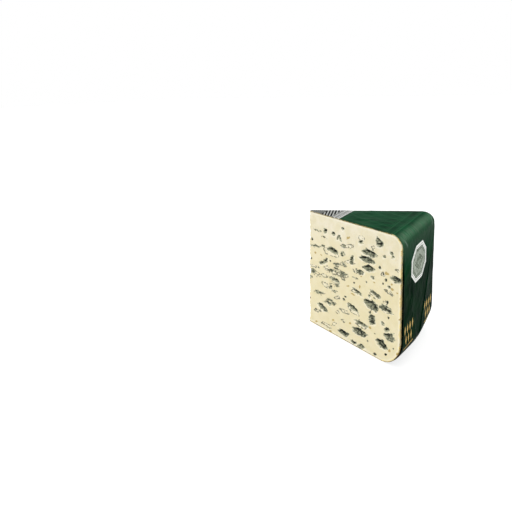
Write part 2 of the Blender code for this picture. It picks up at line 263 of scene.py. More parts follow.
def strew_back_gaps():
    rng = random.Random(BACK_SEED)
    near, far, low, high = BACK_AREA
    gaps = []
    while len(gaps) < BACK_GAP_COUNT:
        distance, height = rng.uniform(near, far), rng.uniform(low, high)
        if any(math.hypot((distance - v[0]) * BACK_ALONG, height - v[1]) < BACK_SPACING for v in gaps):
            continue
        length = rng.uniform(*BACK_LENGTH)
        breadth = length * rng.uniform(*BACK_FLATNESS)
        tilt = rng.uniform(-BACK_TILT, BACK_TILT)
        gaps.append((distance, height, length, breadth, tilt, rng.uniform(*BACK_DEPTH)))
    return gaps


def strew_fine(count, lengths, flatness, spacing, taken, rng):
    """Small marks that keep clear of those already there, as far as the cut has room for them."""
    near, far, low, high = FINE_AREA
    made = []
    for _ in range(count * FINE_TRIES):
        if len(made) == count:
            break
        distance, height = rng.uniform(near, far), rng.uniform(low, high)
        size = rng.uniform(*lengths)
        others = taken + made
        clear = all(
            math.hypot((distance - o[0]) * FINE_ALONG, height - o[1]) > spacing + FINE_REACH * (o[2] + size)
            for o in others
        )
        if clear:
            breadth = size * rng.uniform(*flatness)
            made.append((distance, height, size, breadth, rng.uniform(-FINE_TILT, FINE_TILT)))
    return made


# Each call gives how many, their lengths, their flatness and how far they keep from the marks already
# there. Every other large gap has a stain round it as well, and every third a skin.
fine_rng = random.Random(FINE_SEED)
large_gaps = strew_back_gaps()
small_gaps = strew_fine(26, (2.4, 5.5), (0.4, 0.8), 1.2, large_gaps, fine_rng)
taken = large_gaps + small_gaps
back_stains = [(v[0] + 1.2, v[1] - 0.5, v[2] * 1.15, v[3] * 1.35, v[4]) for v in large_gaps[::2]]
back_stains += strew_fine(13, (5, 12), (0.25, 0.45), 1.2, taken, fine_rng)
back_skins = [(v[0] + 0.6, v[1] - 0.4 * v[3], v[2] * 0.9, v[3] * 0.9, v[4]) for v in large_gaps[::3]]
back_skins += strew_fine(20, (4, 11), (0.25, 0.45), 0.6, taken + back_stains, fine_rng)
back_nets = strew_fine(11, (9, 20), (0.25, 0.5), -2.0, large_gaps[:6], fine_rng)
back_crumbs = strew_fine(18, (1.8, 4.4), (0.35, 0.7), 0.5, taken, fine_rng)
back_dots = [dot[:3] for dot in strew_fine(28, (1.3, 2.3), (1, 1), 0.5, taken, fine_rng)]
back_gaps = large_gaps + [(*v, FINE_GAP_DEPTH) for v in small_gaps]

# The thin end broke rather than cut, so its upright edge is ragged. It leans back a little towards its top.
TIP_BLUNT, TIP_LEAN = 0.2, 2.4
RAGGED, RAGGED_LUMP = 1.3, 2.2
FRAYED, FRAYED_LUMP = 0.9, 0.9
NOTCH_SHARE = 0.8
TIP_NOTCHES = ((9, 6, 1.2), (27, 4, 0.9), (41, 3, 1.4), (52, 3.5, 0.9), (71, 5, 1.0))
up_the_edge = np.stack((heights * 0, heights * 0, heights), 1)
broken_tip = TIP_BLUNT + TIP_LEAN * heights / HEIGHT
broken_tip += RAGGED * np.abs(noise_over(up_the_edge, RAGGED_LUMP, 50)[:, 0])
broken_tip += FRAYED * np.abs(noise_over(up_the_edge, FRAYED_LUMP, 51)[:, 0])
for level_at, half_height, bite in TIP_NOTCHES:
    broken_tip += NOTCH_SHARE * bite * np.clip(1 - ((heights - level_at) / half_height) ** 2, 0, 1)

# At the side the paste has dried and shrunk back a little from the foil, but not at the top and the foot
SHRUNK_LOW, SHRUNK_HIGH = (3, 14), (84, 76)
shrunk = SHRUNK_BACK * soft_step(*SHRUNK_LOW, heights) * soft_step(*SHRUNK_HIGH, heights)
shrunk *= 1 + 0.5 * noise_over(up_the_edge, 5.0, 52)[:, 0] + 0.3 * noise_over(up_the_edge, 1.4, 53)[:, 0]


def outline_gap(distance, height, mark):
    """Millimetres from a lens-shaped mark's outline, negative inside it, and how high in it a point is."""
    place, level_at, length, breadth, tilt = mark[:5]
    turn = math.radians(tilt)
    u = (distance - place) * math.cos(turn) + (height - level_at) * math.sin(turn)
    v = (height - level_at) * math.cos(turn) - (distance - place) * math.sin(turn)
    half, rise = length / 2, breadth / 2
    pointed = np.maximum(np.abs(v) - rise * (1 - (u / half) ** 2), np.abs(u) - half)
    oval = (np.hypot(u / half, v / rise) - 1) * rise
    return 0.5 * pointed + 0.5 * oval, v / rise


# Lumps of noise, in millimetres, bend the marks' outlines by these amounts. Mould lies in level streaks,
# so its noise is stretched level. The rest is how strongly mould shows in each kind of mark; in gaps and pin
# holes the darkest part is painted shade.
BROAD_LUMP, FINE_LUMP, LYING_LUMP, NET_LUMP = 5.0, 1.5, 2.8, 3.0
BROAD_BEND, FINE_BEND = 0.9, 0.6
BROAD_LIFT, FINE_LIFT = 0.6, 0.5
LYING_FLAT, NET_FLAT = (1.0, 1.0, 2.6), (1.0, 1.0, 1.7)
STAIN_MOULD, SKIN_MOULD, NET_MOULD = 0.74, 0.5, 0.54
STAIN_CORE, GAP_SHADE, DOT_SHADE = 0.35, 1.15, 0.8
SKIN_LINE, NET_LINE = 0.42, 0.9


def ripen(points, distance, height, marks, seed):
    """How deep a cut is sunk at each point, in millimetres, and how strong each of its tints is."""
    gaps, stains, skins, nets, dots, crumbs = marks
    broad, fine = noise_over(points, BROAD_LUMP, seed), noise_over(points, FINE_LUMP, seed + 1)
    lying = noise_over(points * LYING_FLAT, LYING_LUMP, seed + 4)
    net_noise = noise_over(points * NET_FLAT, NET_LUMP, seed + 8)[..., 0]
    bent = distance + BROAD_BEND * broad[..., 0] + FINE_BEND * fine[..., 0]
    lifted = height + BROAD_LIFT * broad[..., 1] + FINE_LIFT * fine[..., 1]
    grain = 0.5 * lying[..., 2] + 0.7 * fine[..., 2]
    depth = 0 * distance
    tints = {tint: 0 * distance for tint in ("mould", "dark_mould_and_shade", "skin", "pale", "ochre")}
    for mark in stains:  # thin mould in shallow dips
        off = outline_gap(bent, lifted, mark)[0] + 0.5 * lying[..., 0]
        tints["mould"] = np.maximum(tints["mould"], STAIN_MOULD * soft_step(1.0, -0.9, off))
        tints["dark_mould_and_shade"] = np.maximum(tints["dark_mould_and_shade"], STAIN_CORE * soft_step(0.3, -1.0, off))
        depth = np.maximum(depth, soft_step(0.5, -0.7, off) * (0.3 + 0.5 * soft_step(-0.2, 0.5, grain)))
    for mark in skins:  # a broken dark outline round a paler patch
        off = outline_gap(bent, lifted, mark)[0] + 0.8 * lying[..., 0] + 0.4 * fine[..., 2]
        inside = soft_step(0.3, -0.6, off)
        line = np.exp(-((off / SKIN_LINE) ** 2)) * soft_step(-0.65, 0.1, lying[..., 1] + 0.2)
        tints["skin"] = np.maximum(tints["skin"], line)
        tints["pale"] = np.maximum(tints["pale"], 0.7 * inside * soft_step(-0.5, 0.4, lying[..., 2]))
        tints["mould"] = np.maximum(tints["mould"], SKIN_MOULD * inside * soft_step(0.1, -0.5, lying[..., 2]))
        depth = np.maximum(depth, 0.3 * inside + 0.25 * line)
    contour = np.exp(-((net_noise / 0.2) ** 2)) + 0.6 * np.exp(-(((net_noise + 0.45) / 0.16) ** 2))
    for mark in nets:  # fine broken lines with thin mould between them
        near = soft_step(1.2, -1.2, outline_gap(bent, lifted, mark)[0])
        broken = soft_step(-0.5, 0.2, lying[..., 1] + 0.2)
        tints["skin"] = np.maximum(tints["skin"], NET_LINE * near * contour * broken)
        tints["mould"] = np.maximum(tints["mould"], NET_MOULD * near * soft_step(0.0, -0.6, net_noise))
        depth = np.maximum(depth, 0.35 * near * soft_step(0.05, -0.4, net_noise))
    # In a gap, the near black high up under its roof is painted shade
    for mark in gaps:  # open and deep, darkest under the roof, with a pale torn lip below
        off, rise = outline_gap(bent, lifted, mark)
        off = off + 0.1 * mark[3] * lying[..., 0]
        wall = min(0.45 * mark[3], 1.0)
        opened = soft_step(0.1, -wall, off)
        floor = (0.5 + 0.5 * soft_step(-0.9, 0.5, rise)) * np.clip(0.85 + 0.35 * grain, 0.4, 1.2)
        depth = np.maximum(depth, mark[5] * opened * floor)
        tints["mould"] = np.maximum(tints["mould"], soft_step(1.25, -0.75, off))
        shade_under_roof = soft_step(-0.9, 0.6, rise + 0.6 * lying[..., 1])
        tints["dark_mould_and_shade"] = np.maximum(tints["dark_mould_and_shade"], GAP_SHADE * opened * shade_under_roof)
        # The pale lip low in each gap is a painted highlight
        lip_highlight = np.exp(-(((off - 0.75) / 0.45) ** 2)) * soft_step(0.0, -0.8, rise)
        tints["pale"] = np.maximum(tints["pale"], lip_highlight)
    # A pin hole's dark middle is painted shade
    for place, level_at, size in dots:  # holes the size of a pin's head
        off = np.hypot(bent - place, 1.3 * (lifted - level_at)) - size / 2
        tints["mould"] = np.maximum(tints["mould"], soft_step(0.7, -0.5, off))
        tints["dark_mould_and_shade"] = np.maximum(tints["dark_mould_and_shade"], DOT_SHADE * soft_step(0.3, -0.6, off))
        depth = np.maximum(depth, 0.6 * soft_step(0.2, -0.5, off))
    for mark in crumbs:  # golden, and level with the cut
        off = outline_gap(bent, lifted, mark)[0] + 0.35 * grain
        tints["ochre"] = np.maximum(tints["ochre"], soft_step(0.4, -0.4, off))
    return depth, tints


def cut_face(side, marks, seed):
    """One cut as a grid of points, and its tints. side is -1 for the front cut and 1 for the back."""
    run = np.array((math.cos(HALF_ANGLE), side * math.sin(HALF_ANGLE), 0))
    inward = np.array((math.sin(HALF_ANGLE), -side * math.cos(HALF_ANGLE), 0))
    longest = (reach(side * STEEPEST, heights, UNDER_FOIL) - shrunk) / math.cos(HALF_ANGLE)
    distance = broken_tip[:, None] + along[None, :] * (longest - broken_tip)[:, None]
    height = np.repeat(heights[:, None], len(along), 1)
    points = distance[..., None] * run + height[..., None] * np.array((0, 0, 1))
    depth, tints = ripen(points, distance, height, marks, seed)

    to_side = np.empty(distance.shape)
    for row in range(len(heights)):
        off = np.hypot(distance[row][:, None] - longest, height[row][:, None] - heights)
        to_side[row] = off.min(1)
    to_top, to_base = highest - height, height - lowest
    edge = np.minimum(to_side, np.minimum(to_top, to_base))
    wear_and_glint = 0.5 + 0.9 * noise_over(points, 4.0, seed + 5)[..., 0]
    wear_and_glint += 0.6 * noise_over(points, 1.2, seed + 6)[..., 0]
    rind = np.maximum(soft_step(1.3, 0.2, to_side), 0.75 * soft_step(0.7, 0.1, to_base))
    rind = np.maximum(rind, 0.5 * soft_step(0.55, 0.1, to_top))
    tints["rind"] = rind * np.clip(wear_and_glint, 0, 1)
    tints["edge"] = edge

    # The wire left the cut a little wavy, with fine upright drag lines
    dragged = 0.12 * noise_over(points, 9.0, seed + 2)[..., 0]
    dragged += 0.07 * noise_over(points, 2.2, seed + 3)[..., 1]
    dragged += 0.05 * noise_over(points * (1, 1, 0.06), 1.3, seed + 7)[..., 0]
    kept = soft_step(0, 1.0, edge) * soft_step(0, 1.2, distance - broken_tip[:, None])
    sink = np.minimum(depth, 0.16 * distance) * soft_step(0, 0.8, edge) + (0.1 + dragged) * kept
    sink[:, 0] = 0
    return points + sink[..., None] * inward, tints


front_marks = (FRONT_GAPS, FRONT_STAINS, FRONT_SKINS, FRONT_NETS, FRONT_DOTS, FRONT_CRUMBS)
front_marks = [[set_straight(mark) for mark in marks] for marks in front_marks]
back_marks = (back_gaps, back_stains, back_skins, back_nets, back_dots, back_crumbs)
front_points, front_tints = cut_face(-1, front_marks, 1)
back_points, back_tints = cut_face(1, back_marks, 11)

# Vertices: the tip's edge, then both cuts without it, then what lies between them under the wrap
rows, columns = len(heights), CUT_COLUMNS
tip_points = np.stack((broken_tip * math.cos(HALF_ANGLE), heights * 0, heights), 1)
coords = [tip_points, front_points[:, 1:].reshape(-1, 3), back_points[:, 1:].reshape(-1, 3)]
front_ids = np.empty((rows, columns), int)
front_ids[:, 0] = np.arange(rows)
front_ids[:, 1:] = rows + np.arange(rows * (columns - 1)).reshape(rows, -1)
back_ids = front_ids + rows * (columns - 1)
back_ids[:, 0] = np.arange(rows)
made_so_far = rows + 2 * rows * (columns - 1)

fan_slopes = STEEPEST * np.linspace(-1, 1, FAN_STEPS + 1)[1:-1]
side_ids = np.empty((rows, FAN_STEPS + 1), int)
side_ids[:, 0], side_ids[:, -1] = front_ids[:, -1], back_ids[:, -1]
side_ids[:, 1:-1] = made_so_far + np.arange(rows * len(fan_slopes)).reshape(rows, -1)
made_so_far += rows * len(fan_slopes)
side_x = np.stack([reach(slope, heights, UNDER_FOIL) - shrunk for slope in fan_slopes], 1)
side_z = np.repeat(heights[:, None], len(fan_slopes), 1)
coords.append(np.stack((side_x, side_x * fan_slopes, side_z), 2).reshape(-1, 3))

end_ids = []
for row in (0, rows - 1):
    ids = np.empty((FAN_STEPS + 1, columns), int)
    ids[0], ids[-1] = front_ids[row], back_ids[row]
    ids[:, 0] = row
    ids[:, -1] = side_ids[row]
    ids[1:-1, 1:-1] = made_so_far + np.arange(len(fan_slopes) * (columns - 2)).reshape(len(fan_slopes), -1)
    made_so_far += len(fan_slopes) * (columns - 2)
    x = tip_points[row, 0] + (side_x[row][:, None] - tip_points[row, 0]) * along[None, 1:-1]
    coords.append(np.stack((x, x * fan_slopes[:, None], x * 0 + heights[row]), 2).reshape(-1, 3))
    end_ids.append(ids)
coords = (np.concatenate(coords) + TIP_PLACE) * MM


def quads(ids, flip=False):
    """The faces of a grid of vertex numbers. A face with two corners at the tip is a triangle."""
    grid = np.stack((ids[:-1, :-1], ids[:-1, 1:], ids[1:, 1:], ids[1:, :-1]), 2).reshape(-1, 4)
    faces = [list(dict.fromkeys(face)) for face in grid.tolist()]
    return [face[::-1] for face in faces] if flip else faces


def rim_of(ids):
    """The vertex numbers round a grid, from its first and back to it."""
    return np.concatenate((ids[0, :-1], ids[:-1, -1], ids[-1, :0:-1], ids[:, 0][::-1]))


def new_piece(name, coords, faces):
    """A smooth mesh object in the scene."""
    data = bpy.data.meshes.new(name)
    data.from_pydata(coords.tolist(), [], faces)
    data.validate()
    data.shade_smooth()
    piece = bpy.data.objects.new(name, data)
    bpy.context.scene.collection.objects.link(piece)
    return piece


paste_faces = quads(front_ids) + quads(back_ids, True) + quads(side_ids)
paste_faces += quads(end_ids[0]) + quads(end_ids[1], True)
paste = new_piece("paste_body", coords, paste_faces)
for tint in front_tints:
    strength = np.zeros(len(coords))
    strength[front_ids] = front_tints[tint]
    strength[back_ids[:, 1:]] = back_tints[tint][:, 1:]
    layer = paste.data.attributes.new(tint, "FLOAT", "POINT")
    layer.data.foreach_set("value", strength.astype(np.float32))


def linear(code):
    """The linear colour of an sRGB hex value such as '#EFE6C8'."""
    channels = [int(code[i : i + 2], 16) / 255 for i in (1, 3, 5)]
    return (*(c / 12.92 if c <= 0.04045 else ((c + 0.055) / 1.055) ** 2.4 for c in channels), 1)


def node(tree, kind, *feeds, out=0, **settings):
    """Adds a shader node with its settings, feeds its sockets in their order and returns one of its outputs.

    A dictionary among the feeds names its sockets.
    """
    made = tree.nodes.new("ShaderNode" + kind)
    for name, setting in settings.items():
        setattr(made, name, setting)
    sockets = [socket for socket in made.inputs if socket.enabled]
    by_name = {name: feed for named in feeds if isinstance(named, dict) for name, feed in named.items()}
    in_order = [feed for feed in feeds if not isinstance(feed, dict)]
    fed = [*zip(sockets, in_order), *((made.inputs[name], feed) for name, feed in by_name.items())]
    for socket, feed in fed:
        if isinstance(feed, bpy.types.NodeSocket):
            tree.links.new(feed, socket)
        else:
            socket.default_value = feed
    outputs = {socket.name: socket for socket in made.outputs if socket.enabled}
    return outputs[out] if out else next(iter(outputs.values()), None)


def new_material(name):
    made = bpy.data.materials.new(name)
    made.use_nodes = True
    made.node_tree.nodes.clear()
    return made, made.node_tree


# Ripened cow's milk paste, cut with a wire: ivory and slightly translucent, cloudy where curds met and
# granular close up, so it takes light softly with a faint moist sheen.
ripe_paste, tree = new_material("ripe_cow_milk_paste_wire_cut")
place = node(tree, "VectorMath", node(tree, "TexCoord", out="Object"), 1 / MM, operation="SCALE")
CURD, CRUMB, GRAIN = 6.0, 1.1, 0.35
curd = node(tree, "TexNoise", place, 1 / CURD, 3.0)
crumb = node(tree, "TexNoise", place, 1 / CRUMB, 3.0)
grain = node(tree, "TexNoise", place, 1 / GRAIN, 2.0)
level_z = node(tree, "SeparateXYZ", place, out="Z")
cloudy = node(tree, "MapRange", curd, 0.32, 0.68, 0.0, 1.0, interpolation_type="SMOOTHSTEP")
paste_colour = node(tree, "Mix", cloudy, linear("#DBD2B2"), linear("#E2DAC1"), data_type="RGBA")
CREAMY_FROM, CREAMY_TO = 82.0, 52.0
creamy = node(tree, "MapRange", level_z, CREAMY_FROM, CREAMY_TO, 0.0, 0.42, interpolation_type="SMOOTHSTEP")
paste_colour = node(tree, "Mix", creamy, paste_colour, linear("#DFD19B"), data_type="RGBA")
yellow_curd = node(tree, "MapRange", crumb, 0.56, 0.76, 0.0, 0.3, interpolation_type="SMOOTHSTEP")
paste_colour = node(tree, "Mix", yellow_curd, paste_colour, linear("#D6C590"), data_type="RGBA")

# Patches inside skins are whiter, a gap's pale lower lip is a painted highlight, and a band along the wrap is
# whiter
pale = node(tree, "Attribute", attribute_name="pale", out="Fac")
pale = node(tree, "Math", pale, 0.55, operation="MULTIPLY")
paste_colour = node(tree, "Mix", pale, paste_colour, linear("#F0ECDC"), data_type="RGBA")
# The band along the wrap is partly dried paste and partly a painted highlight along the cut's edge
EDGE_BAND_IN, EDGE_BAND_OUT = 2.2, 0.7
edge = node(tree, "Attribute", attribute_name="edge", out="Fac")
dried_and_highlight = node(tree, "MapRange", edge, EDGE_BAND_IN, EDGE_BAND_OUT, 0.0, 0.5, interpolation_type="SMOOTHSTEP")
paste_colour = node(tree, "Mix", dried_and_highlight, paste_colour, linear("#EEE8D2"), data_type="RGBA")

# The rind is a broken golden line with browner spots, and the same gold shows in a few crumbs
RIND_SPOT = 1.6
spotted = node(tree, "TexNoise", place, 1 / RIND_SPOT, 2.0)
spotted = node(tree, "MapRange", spotted, 0.54, 0.72, 0.0, 1.0, interpolation_type="SMOOTHSTEP")
golden = node(tree, "Mix", spotted, linear("#F0DFA0"), linear("#B8923E"), data_type="RGBA")
rind = node(tree, "Attribute", attribute_name="rind", out="Fac")
rind = node(tree, "MapRange", rind, 0.15, 0.55, 0.0, 0.9, interpolation_type="SMOOTHSTEP")
paste_colour = node(tree, "Mix", rind, paste_colour, golden, data_type="RGBA")
ochre = node(tree, "Attribute", attribute_name="ochre", out="Fac")
ochre = node(tree, "MapRange", ochre, 0.25, 0.8, 0.0, 0.8, interpolation_type="SMOOTHSTEP")
paste_colour = node(tree, "Mix", ochre, paste_colour, linear("#A88B30"), data_type="RGBA")

# Blue mould is a matt felt: grey-green where it is thin, darker where it is thick. Its near black in gaps and
# pin holes is painted shade. Pressing laid it in level streaks, so its noise is stretched level.
STREAK = 2.4
lying = node(tree, "VectorMath", place, LYING_FLAT, operation="MULTIPLY")
streak = node(tree, "TexNoise", lying, 1 / STREAK, 3.0)
streak = node(tree, "MapRange", streak, 0.3, 0.7, -0.5, 0.5, clamp=False)
fleck = node(tree, "MapRange", grain, 0.3, 0.7, -0.5, 0.5, clamp=False)
mould = node(tree, "Attribute", attribute_name="mould", out="Fac")
mould = node(tree, "Math", streak, 0.55, mould, operation="MULTIPLY_ADD")
mould = node(tree, "Math", fleck, 0.3, mould, operation="MULTIPLY_ADD")
mould = node(tree, "MapRange", mould, 0.38, 0.6, 0.0, 1.0, interpolation_type="SMOOTHSTEP")
dark_mould_and_shade = node(tree, "Attribute", attribute_name="dark_mould_and_shade", out="Fac")
dark_mould_and_shade = node(tree, "Math", streak, 1.0, dark_mould_and_shade, operation="MULTIPLY_ADD")
dark_mould_and_shade = node(tree, "Math", fleck, 0.25, dark_mould_and_shade, operation="MULTIPLY_ADD")
felt = node(tree, "ValToRGB", dark_mould_and_shade)
felt_shades = ((0.0, "#B2B296"), (0.25, "#8B8D76"), (0.5, "#565A48"), (0.75, "#1F2318"), (1.0, "#0C0F08"))
shades = felt.node.color_ramp.elements
for position, _ in felt_shades[2:]:
    shades.new(position)
for shade, (position, code) in zip(shades, felt_shades):
    shade.position, shade.color = position, linear(code)
paste_colour = node(tree, "Mix", mould, paste_colour, felt, data_type="RGBA")
skin = node(tree, "Attribute", attribute_name="skin", out="Fac")
skin = node(tree, "Math", streak, 0.3, skin, operation="MULTIPLY_ADD")
skin = node(tree, "Math", fleck, 0.3, skin, operation="MULTIPLY_ADD")
skin = node(tree, "MapRange", skin, 0.38, 0.75, 0.0, 0.85, interpolation_type="SMOOTHSTEP")
paste_colour = node(tree, "Mix", skin, paste_colour, linear("#565A47"), data_type="RGBA")

CRUMB_RELIEF, GRAIN_RELIEF = 0.3, 0.12
relief = node(tree, "Math", grain, GRAIN_RELIEF, operation="MULTIPLY")
relief = node(tree, "Math", crumb, CRUMB_RELIEF, relief, operation="MULTIPLY_ADD")
bumped = node(tree, "Bump", {"Strength": 0.5, "Distance": MM, "Height": relief})
sheen = node(tree, "MapRange", mould, 0.0, 1.0, 0.5, 0.85)
shader = node(
    tree,
    "BsdfPrincipled",
    {
        "Base Color": paste_colour, "Normal": bumped, "Roughness": sheen, "IOR": 1.45,
        "Subsurface Weight": 0.2, "Subsurface Scale": 1.6 * MM, "Subsurface Radius": (1.0, 0.85, 0.6),
    },
)
node(tree, "OutputMaterial", shader)
paste.data.materials.append(ripe_paste)
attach(paste, "root")
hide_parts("paste")


# Wrap. Printed foil, folded round the whole wheel before it was cut. It covers the top, the side and the
# base, lies on the paste with shallow dents, and stands a little off it along the cuts.
FOIL = 0.16
FOIL_TIP = 0.9
FOIL_SET_BACK = 0.2
FOIL_COLUMNS = 97
WIDEST = STEEPEST - FOIL_SET_BACK / APOTHEM
foil_slopes = np.linspace(-WIDEST, WIDEST, FOIL_COLUMNS)


def foil_line(slope, inset):
    """(x, z) along the foil: from the tip under the base, up the side and over the top back to the tip."""
    side = side_distance(slope) - inset
    base_up = base_round(slope) - inset
    top_in, top_down = TOP_ROUND_IN - inset, TOP_ROUND_DOWN - inset
    low = np.linspace(math.pi / 2, 0, 27)
    high = np.linspace(0, math.pi / 2, 19)
    upright = np.linspace(inset + base_up, HEIGHT - inset - top_down, 56)[1:-1]
    flat_low = np.linspace(FOIL_TIP, BASE_FLAT, 56)[:-1]
    flat_high = np.linspace(side - top_in, FOIL_TIP + TIP_LEAN, 62)[1:]
    foot = side - (side - BASE_FLAT) * (1 - np.cos(low))
    shoulder = side - top_in * (1 - np.cos(high))
    x = np.concatenate((flat_low, foot, upright * 0 + side, shoulder, flat_high))
    foot = inset + base_up * (1 - np.sin(low))
    shoulder = HEIGHT - inset - top_down * (1 - np.sin(high))
    z = np.concatenate((flat_low * 0 + inset, foot, upright, shoulder, flat_high * 0 + HEIGHT - inset))
    return np.stack((x, z), 1)


WIDE_DENT, WIDE_DEPTH = 17.0, 0.34
NARROW_DENT, NARROW_DEPTH = 5.0, 0.1
DENTED_UP, DENTED_OUT = (0.5, 6), (0, 14)


def dents(points):
    """How far the foil is pressed in at each point, in millimetres. The base's flat stays flat."""
    wide = np.abs(noise_over(points, WIDE_DENT, 60)[..., 0])
    narrow = np.abs(noise_over(points, NARROW_DENT, 61)[..., 0])
    pressed = WIDE_DEPTH * wide + NARROW_DEPTH * narrow
    return pressed * soft_step(*DENTED_UP, points[..., 2]) * soft_step(*DENTED_OUT, points[..., 0])


def foil_skin(inset):
    """One face of the foil as a grid of points."""
    line = np.stack([foil_line(slope, inset) for slope in foil_slopes])
    skin = np.stack((line[..., 0], line[..., 0] * foil_slopes[:, None], line[..., 1]), 2)
    outward = np.cross(np.gradient(skin, axis=0), np.gradient(skin, axis=1))
    outward /= np.linalg.norm(outward, axis=2, keepdims=True)
    return skin - outward * dents(skin)[..., None]


outer_skin, inner_skin = foil_skin(0.0), foil_skin(FOIL)
outer_ids = np.arange(outer_skin.size // 3).reshape(outer_skin.shape[:2])
inner_ids = outer_ids + outer_ids.size
rim = rim_of(outer_ids)
outer_faces = quads(outer_ids, True)
foil_faces = outer_faces + quads(inner_ids) + quads(np.stack((rim, rim + outer_ids.size)))
foil_coords = (np.concatenate((outer_skin.reshape(-1, 3), inner_skin.reshape(-1, 3))) + TIP_PLACE) * MM
foil = new_piece("foil_wrap", foil_coords, foil_faces)

# Aluminium foil under a green lacquer, rolled and then printed: a deep green metal that brightens softly
# where it bends or is dented. The white, silver and gold are paler inks, and none of them is lettering.
lacquered_foil, tree = new_material("aluminium_foil_green_lacquer_printed")
place = node(tree, "VectorMath", node(tree, "TexCoord", out="Object"), 1 / MM, operation="SCALE")
from_middle = node(tree, "SeparateXYZ", place, out="X")
across_y = node(tree, "SeparateXYZ", place, out="Y")
level_z = node(tree, "SeparateXYZ", place, out="Z")
along_x = node(tree, "Math", from_middle, APOTHEM / 2, operation="ADD")
off_middle = node(tree, "Math", across_y, operation="ABSOLUTE")
TOP_FROM, SIDE_FROM = 79.8, 81.5
on_top = node(tree, "Math", level_z, TOP_FROM, operation="GREATER_THAN")
on_side = node(tree, "Math", along_x, SIDE_FROM, operation="GREATER_THAN")


def printed_stripes(tree, across, period, width):
    """1 on stripes of ink of that width in millimetres, one in each period, and 0 between them."""
    from_stripe = node(tree, "Math", across, period / 2, operation="PINGPONG")
    return node(tree, "Math", from_stripe, width / 2, operation="LESS_THAN")


def overprint(tree, colour, ink, code, amount=1.0):
    """Lays an ink of that sRGB colour over another colour, where its mask is 1."""
    laid = node(tree, "Math", ink, amount, operation="MULTIPLY")
    return node(tree, "Mix", laid, colour, linear(code), data_type="RGBA")


# The lacquer is cloudy. Painted shade darkens it below the top and more so lower down the side, and makes it
# almost black where the side's ends turn away at the corners
CLOUD = 14.0
SIDE_SHADE_FROM, SIDE_SHADE_TO = 84.0, 79.0
LOWER_SHADE_FROM, LOWER_SHADE_TO = 70.0, 50.0
CORNER_SHADE_FROM, CORNER_SHADE_TO = 31.4, 33.7
CORNER_SHADE_TOP, CORNER_SHADE_FULL = 80.0, 70.0
cloud = node(tree, "TexNoise", place, 1 / CLOUD, 3.0)
cloud = node(tree, "MapRange", cloud, 0.35, 0.7, 0.0, 1.0, interpolation_type="SMOOTHSTEP")
colour = node(tree, "Mix", cloud, linear("#2A593E"), linear("#244833"), data_type="RGBA")
side_shade_colour = node(tree, "Mix", cloud, linear("#04321E"), linear("#03271B"), data_type="RGBA")
side_shade = node(tree, "MapRange", level_z, SIDE_SHADE_FROM, SIDE_SHADE_TO, 0.0, 0.6, interpolation_type="SMOOTHSTEP")
lower_side_shade = node(
    tree, "MapRange", level_z, LOWER_SHADE_FROM, LOWER_SHADE_TO, 1.0, 1.6, interpolation_type="SMOOTHSTEP"
)
side_shade = node(tree, "Math", side_shade, lower_side_shade, operation="MULTIPLY")
colour = node(tree, "Mix", side_shade, colour, side_shade_colour, data_type="RGBA")
# Painted shade, almost black, on the side's ends where they turn away at the corners
corner_shade = node(
    tree, "MapRange", off_middle, CORNER_SHADE_FROM, CORNER_SHADE_TO, 0.0, 0.95, interpolation_type="SMOOTHSTEP"
)
corner_shade_below_bend = node(
    tree, "MapRange", level_z, CORNER_SHADE_TOP, CORNER_SHADE_FULL, 0.0, 1.0, interpolation_type="SMOOTHSTEP"
)
corner_shade = node(tree, "Math", corner_shade, corner_shade_below_bend, operation="MULTIPLY")
colour = node(tree, "Mix", corner_shade, colour, linear("#030604"), data_type="RGBA")

# A painted highlight: paler green along the shoulder, in fine strokes across it, and fainter a little below
# it
SHEEN_LENGTH, SHEEN_SPACING = 9.0, 0.9
SHEEN_FROM, SHEEN_TO = -7.4, -5.0
SHEEN_FOOT, SHEEN_HEAD = 62.0, 82.0
stroke = (1 / SHEEN_LENGTH, 1 / SHEEN_SPACING, 1 / SHEEN_LENGTH)
stroke = node(tree, "VectorMath", place, stroke, operation="MULTIPLY")
stroke = node(tree, "TexNoise", stroke, 1.0, 3.0)
stroke = node(tree, "MapRange", stroke, 0.3, 0.7, 0.25, 1.0, interpolation_type="SMOOTHSTEP")
bend = node(tree, "Math", along_x, level_z, operation="ADD")
bend = node(tree, "Math", bend, APOTHEM + HEIGHT, operation="SUBTRACT")
shoulder_sheen = node(tree, "MapRange", bend, SHEEN_FROM, SHEEN_TO, 0.0, 1.0, interpolation_type="SMOOTHSTEP")
shoulder_sheen = node(tree, "Math", shoulder_sheen, stroke, operation="MULTIPLY")
below = node(tree, "MapRange", level_z, SHEEN_FOOT, SHEEN_HEAD, 0.0, 0.42, interpolation_type="SMOOTHSTEP")
below = node(tree, "Math", below, on_side, operation="MULTIPLY")
shoulder_sheen = node(tree, "Math", shoulder_sheen, below, operation="MAXIMUM")
colour = node(tree, "Mix", shoulder_sheen, colour, linear("#4A5F4E"), data_type="RGBA")

# Where each pleat starts, a painted glint on a short crease
GLINT_LEVEL, GLINT_OUT, GLINT_LEAN, GLINT_HALF, GLINT_WIDTH = 82.0, 28.4, 0.5, 3.6, 1.2
up_crease = node(tree, "Math", level_z, GLINT_LEVEL, operation="SUBTRACT")
off_crease = node(tree, "Math", up_crease, -GLINT_LEAN, off_middle, operation="MULTIPLY_ADD")
off_crease = node(tree, "Math", off_crease, GLINT_OUT, operation="SUBTRACT")
off_crease = node(tree, "Math", off_crease, operation="ABSOLUTE")
wear_and_glint = node(tree, "MapRange", off_crease, GLINT_WIDTH, 0.1, 0.0, 1.0, interpolation_type="SMOOTHSTEP")
up_crease = node(tree, "Math", up_crease, operation="ABSOLUTE")
fading = node(tree, "MapRange", up_crease, GLINT_HALF, 0.5, 0.0, 1.0, interpolation_type="SMOOTHSTEP")
wear_and_glint = node(tree, "Math", wear_and_glint, fading, operation="MULTIPLY")
